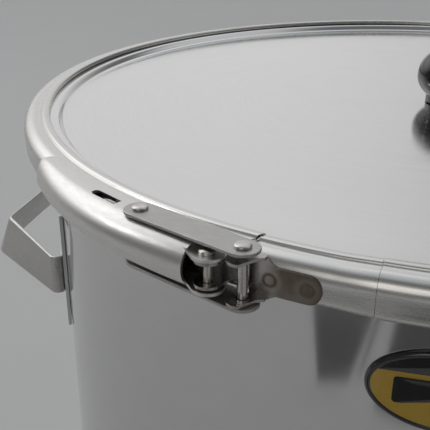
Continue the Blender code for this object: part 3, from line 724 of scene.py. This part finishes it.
def anchor_plate(look):
    """Bent sheet on the tongue: tall plate, long round-ended tab, two ears for the pin."""
    inner, outer = proud(-1.3), proud(-0.1)
    top, low = down(1.6), down(19.2)
    sheet = 1.2 * MM
    tab_top, tab_low = down(5.4), down(16.7)
    tab_half, tab_middle = (tab_top - tab_low) / 2, (tab_top + tab_low) / 2
    tab_end = ANCHOR[1] + 6.25
    bend = math.degrees(tab_half / outer)

    def section(azimuth):
        narrow = min(1.0, max(0.0, (azimuth - ANCHOR[1] - 1.55) / 0.9))
        upper = top + (tab_top - top) * narrow
        lower = low + (tab_low - low) * narrow
        past = (azimuth - (tab_end - bend)) / bend
        if past > 0:
            half = tab_half * math.sqrt(max(0.004, 1 - past ** 2.6))
            upper, lower = tab_middle + half, tab_middle - half
        return [(inner, lower), (outer, lower), (outer, upper), (inner, upper)]

    item = bent_round("anchor_plate", section, ANCHOR[1] + 0.1, tab_end, 0.09)
    centre = flat_point((proud(5.8), ANCHOR[1]))
    outline = arc(centre, 5.2 * MM, ANCHOR[1] - 180, ANCHOR[1] + 20, 24)
    outline += near_ring(ANCHOR[1], (3.4, 1.1), (1.2, 1.62), (-1.0, 1.62), (-1.0, 0.13))
    for height in (low, top - sheet):
        cut(item, plate("anchor_ear", outline, height, height + sheet), "UNION")
    drill(item, flat_point(ANCHOR), 2.3 * MM, low - 1 * MM, top + 1 * MM)
    soften(item, 0.25 * MM)
    settle(item, look, "ring_right", "bracket_steel", "anchor_bracket")


def weld_marks(look):
    """The shallow pressed ring of each spot weld, on the tab's face."""
    ridge = ((1.75, -0.15), (1.85, 0.06), (2.1, 0.12), (2.35, 0.06), (2.45, -0.15))
    count = 36
    for index, centre in enumerate(weld_places()):
        across = Matrix.Rotation(math.radians(polar(centre)[1]), 3, "Z")
        loops = []
        for step in range(count):
            angle = math.tau * step / count
            spoke = Vector((0, math.cos(angle), math.sin(angle)))
            loops.append([centre + across @ (spoke * r * MM + Vector((h * MM, 0, 0)))
                          for r, h in ridge])
        item = loft("weld_mark_%d" % index, loops, closed=True)
        settle(item, look, "ring_right", "bracket_steel")


# ---- handles

def rounded_corner(before, corner, after, radius, steps):
    """Points of a fillet of the given radius between two straight runs."""
    back, ahead = (before - corner).normalized(), (after - corner).normalized()
    half_angle = back.angle(ahead) / 2
    reach = radius / math.tan(half_angle)
    hub = corner + (back + ahead).normalized() * (radius / math.sin(half_angle))
    start = corner + back * reach - hub
    sweep = math.pi - 2 * half_angle
    turn = 1 if back.cross(ahead).z < 0 else -1
    return [hub + Matrix.Rotation(turn * sweep * i / steps, 3, "Z") @ start
            for i in range(steps + 1)]


def strap_loop(centre, tangent, tilt, sheet, width):
    """Rounded rectangular strap section hanging down from a point of its path."""
    normal = Vector((tangent.y, -tangent.x, 0)).normalized()
    lean = math.radians(tilt)
    outward = normal if normal.dot(Vector((centre.x, centre.y, 0))) > 0 else -normal
    hang = Vector((0, 0, -math.cos(lean))) + outward * math.sin(lean)
    half = sheet / 2
    section = []
    for across, drop, start in ((-half, 0, 180), (half, 0, 90), (half, width, 0),
                                (-half, width, -90)):
        corner = 1.0 * MM
        inside_across = across - math.copysign(corner, across)
        inside_drop = drop + (corner if drop == 0 else -corner)
        for step in range(5):
            angle = math.radians(start - 90 * step / 4)
            section.append(centre + normal * (inside_across + corner * math.cos(angle))
                           + hang * (inside_drop - corner * math.sin(angle)))
    return section


def handle_path(top):
    """Half of the strap's centreline, from the foot's free end to the middle of the grip."""
    sheet = 2.3 * MM
    grip = highest("handle_right").x - 26 * MM * math.sin(math.radians(20)) - sheet / 2
    foot_radius = WALL_RADIUS + 0.35 * MM + 2 * MM + 0.35 * MM + sheet / 2
    root_angle = math.degrees(math.asin(106 * MM / foot_radius))
    foot_angle = root_angle - math.degrees(20 * MM / foot_radius)
    foot = cylindrical(foot_radius, foot_angle, top)
    root = cylindrical(foot_radius, root_angle, top)
    corner = Vector((grip, 49 * MM, top))
    centre = Vector((grip, 0, top))
    path = [foot] + rounded_corner(foot, root, corner, 3.2 * MM, 14)
    path += rounded_corner(root, corner, centre, 9 * MM, 14)
    return path + [Vector((grip, 20 * MM, top)), centre]


def strap_handle(name, node, side, look):
    top = highest(node).z - 0.3 * MM
    half = handle_path(top)
    path = half + [Vector((p.x, -p.y, p.z)) for p in half[-2::-1]]
    grip = half[-1].x
    loops = []
    for index, centre in enumerate(path):
        before, after = path[max(0, index - 1)], path[min(len(path) - 1, index + 1)]
        reach = min(1.0, max(0.0, (centre.x - path[0].x) / (grip - path[0].x)))
        loop = strap_loop(centre, after - before, 20 * reach, 2.3 * MM, 25.4 * MM)
        if side < 0:
            loop = [Vector((-p.x, -p.y, p.z)) for p in loop]
        loops.append(loop)
    item = loft(name, loops, smooth=50)
    settle(item, look, "root", "handle_steel", node)


# ---- badge

def on_wall(along, up, radius, height):
    azimuth = BADGE_AZIMUTH + math.degrees(along / radius)
    return cylindrical(radius, azimuth, height + up)


def oval_band(name, outer, inner, base, crown, height, look, slot, nodes=()):
    """A rounded oval moulding on the wall between two ovals."""
    loops = []
    for step in range(120):
        angle = math.tau * step / 120
        loop = []
        for share, lift in ((0, 0), (0.04, 0.55), (0.25, 0.9), (0.5, 1.0), (0.75, 0.85), (0.96, 0.5),
                            (1, 0)):
            semi = [outer[axis] + (inner[axis] - outer[axis]) * share for axis in (0, 1)]
            loop.append(on_wall(semi[0] * math.cos(angle), semi[1] * math.sin(angle),
                                base + (crown - base) * lift, height))
        loops.append(loop)
    settle(loft(name, loops, smooth=60, closed=True), look, "root", slot, *nodes)


def wall_patch(name, outline, base, top, height, look, slot, nodes=()):
    """A thin slab over a closed outline of (along, up) points, bent to the wall."""
    hub_along, hub_up = (sum(values) / len(outline) for values in zip(*outline))
    rows = 8
    rings = [(row / rows, top) for row in range(rows + 1)] + [(1, base), (0.02, base)]
    loops = [[on_wall(hub_along + (along - hub_along) * share, hub_up + (up - hub_up) * share,
                      radius, height) for along, up in outline] for share, radius in rings]
    settle(loft(name, loops), look, "root", slot, *nodes)


def rounded_box(left, right, low, high, radius, steps=6):
    points = []
    for x, y, start in ((right - radius, high - radius, 0), (left + radius, high - radius, 90),
                        (left + radius, low + radius, 180), (right - radius, low + radius, 270)):
        points += arc((x, y), radius, start, start + 90, steps)
    return points


def badge(black, yellow):
    """Domed black oval: black crown above, yellow field below with a plain black panel."""
    height = middle("badge_plate").z
    low, high = heights("badge_plate")
    semi = (half_width("badge_plate"), (high - low) / 2)
    back = WALL_RADIUS + 0.35 * MM
    face = back + 1.5 * MM
    oval_band("badge_rim", semi, [size - 2.6 * MM for size in semi], back, face + 0.5 * MM,
              height, black, "badge_black", ["badge_plate"])
    field = tuple(size - 2.2 * MM for size in semi)
    split = 6.2 * MM
    angle = math.degrees(math.asin(split / field[1]))
    wall_patch("badge_crown", arc((0, 0), field, angle, 180 - angle, 40), back, face - 0.1 * MM,
               height, black, "badge_black")
    wall_patch("badge_field", arc((0, 0), field, 180 - angle, 360 + angle, 64), back,
               face - 0.1 * MM, height, yellow, "badge_yellow", ["badge_face"])
    panel = rounded_box(-19.5 * MM, 19.5 * MM, -6.8 * MM, 4.4 * MM, 1.4 * MM)
    wall_patch("badge_panel", panel, face - 0.2 * MM, face + 0.05 * MM, height, black,
               "badge_black")


# ---- lid fittings

def knob(look):
    base, top = heights("lid_knob")
    radius = highest("lid_knob").x
    centre = base + 16 * MM
    profile = offsets(0, base, (0, 0.2), (12.6, 0), (13.6, 0.4))
    profile += arc((0, centre), (radius, centre - base - 0.2 * MM), -47, 0, 22)
    profile += arc((0, centre), (radius, top - centre), 0, 90, 36)[1:]
    item = turned("knob_ball", profile, steps=96)
    settle(item, look, "root", "knob_black", "lid_knob")


def hex_nut(name, node, look, slot):
    """A hexagon with chamfered corners, from the CAD nut's box."""
    at, radius = above(node), half_width(node)
    low, high = heights(node)
    item = plate(name, arc(at, radius, 0, 300, 5), low, high)
    flat, clear = radius * math.cos(math.pi / 6), radius + 0.3 * MM
    cone = [(0, low - 1 * MM), (flat, low - 1 * MM), (clear, low + 1.2 * MM),
            (clear, high - 1.2 * MM), (flat, high), (0, high)]
    cut(item, turned("cone", cone, at, 48), "INTERSECT")
    soften(item, 0.2 * MM, 25, 25)
    settle(item, look, "root", slot, node)


def gauge(steel, white, glass, red, ink):
    at = above("gauge_case")
    low, high = heights("gauge_case")
    radius = half_width("gauge_case")
    sheet, bend, inner_bend = 1.2 * MM, 5 * MM, 3 * MM
    inner, seat = radius - sheet, low + 4 * MM
    case = arc((radius - bend, low + bend), bend, -90, 0, 10)
    case += [(radius, high - 0.5 * MM), (inner, high - 0.5 * MM)]
    case += arc((inner - inner_bend, seat + inner_bend), inner_bend, 0, -90, 8)
    case = [(0, low)] + case + [(0, seat)]
    settle(turned("gauge_cup", case, at, 96), steel, "root", "gauge_steel", "gauge_case")
    low, top = heights("gauge_bezel")
    rim, roll, side = half_width("gauge_bezel"), 1.6 * MM, 1.2 * MM
    bezel = offsets(rim, low, (-5, 0), (0, 0))
    bezel += arc((rim - roll, low + side), (roll, top - low - side), 0, 90, 10)
    bezel += offsets(rim, top, (-2.6, -0.2)) + offsets(rim, low, (-5, 0.9))
    settle(turned("gauge_ring", bezel, at, 96), steel, "root", "gauge_steel", "gauge_bezel")
    face, dial_radius = highest("gauge_dial").z, half_width("gauge_dial")
    back = face - 0.6 * MM
    dial = [(0, back), (dial_radius, back), (dial_radius, face), (0, face)]
    settle(turned("gauge_face", dial, at, 96), white, "root", "dial_white", "gauge_dial")
    dial_marks(face, dial_radius, at, ink)
    dress("gauge_lens", glass)
    dress("gauge_needle", red)


def dial_marks(face, radius, at, ink):
    """Pressure scale: long and short ticks over 270 degrees, with plain numbers."""
    start, sweep, divisions = 225, 270, 30
    centre = Matrix.Translation((*at, 0))
    bm = bmesh.new()
    for index in range(divisions + 1):
        turn = Matrix.Rotation(math.radians(start - sweep * index / divisions), 4, "Z")
        inward, half = (5.2, 0.36) if index % 5 == 0 else (3.6, 0.18)
        inner, outer = radius - inward * MM, radius - 2.2 * MM
        box = bmesh.ops.create_cube(bm, size=1.0)["verts"]
        size = Matrix.Diagonal((outer - inner, 2 * half * MM, 0.1 * MM, 1))
        place = Matrix.Translation(((inner + outer) / 2, 0, face + 0.05 * MM))
        bmesh.ops.transform(bm, matrix=centre @ turn @ place @ size, verts=box)
    settle(make("gauge_ticks", bm), ink, "root", "knob_black")
    for index in range(7):
        text = bpy.data.curves.new("gauge_number_%d" % (index * 5), "FONT")
        text.body = str(index * 5)
        text.size = 4.4 * MM
        text.extrude = 0.04 * MM
        text.align_x = "CENTER"
        text.align_y = "CENTER"
        item = bpy.data.objects.new(text.name, text)
        reach = cylindrical(radius - 8.4 * MM, start - sweep * index / 6, face + 0.05 * MM)
        item.location = reach + Vector((*at, 0))
        bpy.context.scene.collection.objects.link(item)
        settle(item, ink, "root", "knob_black")


def gauge_stem(look):
    low, high = heights("gauge_stem")
    nut_top = highest("gauge_nut").z
    neck = offsets(0, nut_top, (5, 1), (3.6, 2.4)) + offsets(0, high, (3.6, -4), (5, -2.6), (5, 0))
    profile = (offsets(0, low, (0, 0), (4.6, 0), (5, 0.6)) + offsets(0, nut_top, (5, 0.5))
               + eased(neck, 2) + [(0, high)])
    settle(turned("gauge_neck", profile, above("gauge_case"), 64), look, "root",
           "fitting_brass", "gauge_stem")


def vent(steel, black):
    at = above("vent_pipe")
    low, high = heights("vent_pipe")
    collar = highest("vent_nut").z + 3 * MM
    pipe = offsets(0, low, (1.2, 0), (4.7, 0), (5, 0.4)) + offsets(0, collar, (5, -0.5), (3.6, 1))
    pipe += offsets(0, high, (3.6, -0.6), (3.0, 0), (1.2, 0))
    settle(turned("vent_tube", pipe, at, 48), steel, "root", "pin_steel", "vent_pipe")
    foot, top = heights("vent_weight")
    radius = half_width("vent_weight")
    roof = high + 1 * MM
    outline = offsets(radius, foot, (-1.5, 0), (0, 0.6))
    outline += offsets(radius, roof, (0, -4), (-1, -1.5), (-5, 0.5))
    outline += offsets(0, roof, (7.2, 2.2), (6.4, 5), (8, 8))
    outline += offsets(0, top, (8.2, -2.5), (6.4, -0.4), (3, 0), (0, 0))
    profile = [(4.1 * MM, foot)] + eased(outline, 3) + [(0, roof), (4.1 * MM, roof)]
    settle(turned("vent_cap", profile, at, 96), black, "weight", "knob_black", "vent_weight")


def safety_plug(look):
    low, high = heights("safety_plug")
    seat = high - 5 * MM
    button = offsets(0, seat, (9, 0), (9, 1.6), (8, 2.6), (5.2, 3.2), (4.4, 4.4))
    button += [(3 * MM, high), (0, high)]
    profile = offsets(0, low, (0, 0), (8.2, 0), (8.5, 0.6))
    profile += offsets(0, seat, (8.5, -2.2), (6, -2.2), (6, 0)) + eased(button, 2)
    settle(turned("plug_button", profile, above("safety_plug"), 64), look, "root", "plug_rubber",
           "safety_plug")


def dress(node, look, bevel=0.0):
    """A CAD node whose shape stays: it gets a material, and soft edges where it shows."""
    item = frame["nodes"][node]
    item.data.materials.clear()
    item.data.materials.append(look)
    if bevel:
        bevelled(item, bevel, 2)


# ---- studio

# Soft boxes of the studio: azimuth, elevation, full and zero half-width (degrees), radiance.
SOFT_BOXES = {
    "left": (158, 36, 8, 36, (1.0, 1.0, 1.0)),
    "back": (122, 16, 16, 62, (0.6, 0.6, 0.6)),
    "overhead": (95, 62, 12, 40, (0.4, 0.43, 0.46)),
    "front": (-100, 38, 6, 24, (1.15, 1.12, 1.07)),
    "right": (15, 40, 10, 34, (0.45, 0.45, 0.45)),
    "lamp": (-175, 33, 2.5, 5.5, (8, 8, 8)),
}
ROOM = (0.15, 0.15, 0.153)
KEY_PLACE, KEY_TARGET = (-2.2, -0.1, 1.6), (-0.4, 0, 0)
KEY_SIZE, KEY_RADIANCE = 1.2, 1.9


def soft_box(tree, direction, azimuth, elevation, full, zero, radiance):
    """A round glow in the world, fading smoothly from its full to its zero half-width."""
    rise = math.radians(elevation)
    aim = cylindrical(math.cos(rise), azimuth, math.sin(rise))
    facing = vector_math(tree, "DOT_PRODUCT", direction, aim)
    fade = tree.nodes.new("ShaderNodeMapRange")
    fade.interpolation_type = "SMOOTHSTEP"
    tree.links.new(facing.outputs["Value"], fade.inputs["Value"])
    fade.inputs["From Min"].default_value = math.cos(math.radians(zero))
    fade.inputs["From Max"].default_value = math.cos(math.radians(full))
    return vector_math(tree, "MULTIPLY", fade.outputs[0], radiance).outputs[0]


def studio_world():
    """Soft boxes and a dim room, all in the world, seen through the Standard view."""
    world = bpy.data.worlds.new("studio")
    world.use_nodes = True
    tree = world.node_tree
    direction = tree.nodes.new("ShaderNodeTexCoord").outputs["Generated"]
    total = ROOM
    for box in SOFT_BOXES.values():
        total = vector_math(tree, "ADD", soft_box(tree, direction, *box), total).outputs[0]
    tree.links.new(total, tree.nodes["Background"].inputs["Color"])
    bpy.context.scene.world = world
    bpy.context.scene.view_settings.view_transform = "Standard"


def key_light():
    """A soft light from the left; neither the camera nor a reflection sees it."""
    data = bpy.data.lights.new("key", "AREA")
    data.shape = "RECTANGLE"
    data.size = data.size_y = KEY_SIZE
    data.energy = KEY_RADIANCE * math.pi * KEY_SIZE ** 2
    item = bpy.data.objects.new("key", data)
    item.location = KEY_PLACE
    aim = Vector(KEY_TARGET) - Vector(KEY_PLACE)
    item.rotation_euler = aim.to_track_quat("-Z", "Y").to_euler()
    item.visible_camera = False
    item.visible_glossy = False
    bpy.context.scene.collection.objects.link(item)


# Dark cloths on the floor that the polished wall reflects: corners in metres.
CLOTHS = {
    "wide": ((-0.40, -0.80), (-0.27, -0.64), (-0.20, -0.68), (-0.19, -0.87)),
    "thin": ((-0.182, -0.70), (-0.174, -0.70), (-0.163, -0.95), (-0.178, -0.95)),
    "last": ((-0.122, -0.66), (0.16, -0.66), (0.18, -0.98), (-0.122, -0.98)),
}


def mottled(name, low, high, size, roughness):
    """A matt surface whose tone wanders between two colours."""
    look = Look(name, low, roughness, 0.0)
    look.link(look.mix(look.noise(look.place(), 3.0, size), low, high),
              look.shader.inputs["Base Color"])
    return look.material


def floor():
    bm = bmesh.new()
    bmesh.ops.create_grid(bm, x_segments=1, y_segments=1, size=9)
    paper = make("floor", bm)
    paper.data.materials.append(mottled("floor_paper", (0.49,) * 3, (0.51,) * 3, 6.0, 0.8))
    cloth = mottled("dark_cloth", (0.085, 0.084, 0.086), (0.115, 0.112, 0.114), 40.0, 0.9)
    for name, corners in CLOTHS.items():
        bm = bmesh.new()
        bm.faces.new([bm.verts.new((x, y, 2 * MM)) for x, y in corners])
        item = make("cloth_" + name, bm)
        item.data.materials.append(cloth)
        item.visible_camera = False
        item.visible_shadow = False
        item.visible_diffuse = False


def camera():
    """Close to the rim, a little above it, looking down across the closure at the lid."""
    data = bpy.data.cameras.new("camera")
    data.lens = 62.79
    data.sensor_width = 36
    data.clip_start = 0.02
    item = bpy.data.objects.new("camera", data)
    item.location = (-30.2 * MM, -472.3 * MM, down(-116.9))
    item.rotation_euler = (math.radians(65.882), 0, math.radians(14))
    bpy.context.scene.collection.objects.link(item)
    bpy.context.scene.camera = item


# ---- assembly


METALS = {
    "lever": (("lever_satin", (0.68, 0.67, 0.65), 0.34, (900, 60, 900)),
              {"darker": 0.06, "rougher": 0.06, "depth": 0.000004, "spots": 0.06}),
    "pin": (("pin_turned", (0.58, 0.55, 0.52), 0.22, (600, 40, 2500)),
            {"darker": 0.14, "rougher": 0.1, "depth": 0.00001}),
    "handle": (("handle_brushed", (0.5, 0.49, 0.475), 0.3, (300, 25, 2600)),
               {"darker": 0.12, "rougher": 0.1, "depth": 0.00002}),
    "pad": (("pad_satin", (0.6, 0.61, 0.62), 0.3, (300, 25, 900)),
            {"darker": 0.06, "depth": 0.000004}),
    "plain": (("plain_steel", (0.56, 0.56, 0.55), 0.32, (1500, 14, 600)), {"darker": 0.1}),
    "rack": (("rack_aluminium", (0.66, 0.66, 0.66), 0.36, (900, 10, 500)), {}),
}


def steels():
    """The plain metals, each with its own grain."""
    made = {name: metal(*values, **more).material for name, (values, more) in METALS.items()}
    made["link"] = metal("link_tumbled", (0.45, 0.44, 0.425), 0.42, (120, 2600, 900), darker=0.14,
                         rougher=0.12, depth=0.00003, spots=0.1,
                         flat=polar(middle("link_top"))[1] + 90).material
    made["brass"] = metal("brass_turned", (0.62, 0.44, 0.19), 0.26, (700, 30, 2200), darker=0.12,
                          centre=above("gauge_case")).material
    return made


def phenolic():
    look = gloss("black_phenolic", (0.01, 0.01, 0.01), 0.06, coat=0.3)
    look.set("Specular IOR Level", 0.35)
    return look.material


def lens_glass():
    look = Look("lens_glass", (1, 1, 1), 0.02, 0.0)
    look.set("Transmission Weight", 1.0)
    look.set("IOR", 1.45)
    smear = look.noise(look.place(), 3.0, 60.0)
    look.link(look.span(smear, 0.01, 0.05), look.shader.inputs["Roughness"])
    return look.material


def closure(steel):
    """Clamp ring, lever, links, pins and brackets."""
    bracket = bracket_steel("bracket_tinted", weld_places())
    ring = ring_metal()
    ring_band_left(ring)
    ring_band_right(ring)
    lever_body(steel["lever"])
    link_bars(steel["link"])
    closure_pins(steel["pin"])
    anchor_plate(bracket)
    weld_marks(bracket)
    fulcrum_plate(bracket)
    dress("seal_lug", steel["pin"], 0.2 * MM)


def fittings(steel, black):
    """Knob, gauge, vent and safety plug on the lid."""
    knob(black)
    hex_nut("gauge_hexagon", "gauge_nut", steel["brass"], "fitting_brass")
    hex_nut("vent_hexagon", "vent_nut", steel["plain"], "pin_steel")
    gauge_stem(steel["brass"])
    gauge(steel["plain"], gloss("dial_enamel", (0.8, 0.8, 0.77), 0.35, coat=0.2).material,
          lens_glass(), gloss("needle_paint", (0.5, 0.02, 0.012), 0.3).material,
          gloss("dial_ink", (0.01, 0.01, 0.01), 0.4, coat=0.0).material)
    vent(steel["plain"], black)
    safety_plug(rubber("plug_rubber", (0.025, 0.025, 0.026)))
    for node in ("knob_washer", "knob_nut", "knob_stud"):
        dress(node, steel["pin"])


def build():
    steel = steels()
    lid_panel(lid_metal())
    pot_shell(wall_metal())
    closure(steel)
    strap_handle("strap_right", "handle_right", 1, steel["handle"])
    strap_handle("strap_left", "handle_left", -1, steel["handle"])
    badge(gloss("badge_black", (0.008, 0.008, 0.009), 0.12, coat=0.8).material,
          gloss("badge_yellow", (0.42, 0.27, 0.025), 0.28, coat=0.6).material)
    fittings(steel, phenolic())
    for side in ("left_front", "left_rear", "right_front", "right_rear"):
        dress("handle_pad_" + side, steel["pad"], 0.5 * MM)
    dress("base_disc", steel["plain"])
    dress("rim_gasket", rubber("gasket_silicone", (0.5, 0.5, 0.47)))
    dress("canning_rack", steel["rack"])
    for index in range(4):
        dress("rack_foot_%d" % index, steel["rack"])


build()
camera()
studio_world()
key_light()
floor()
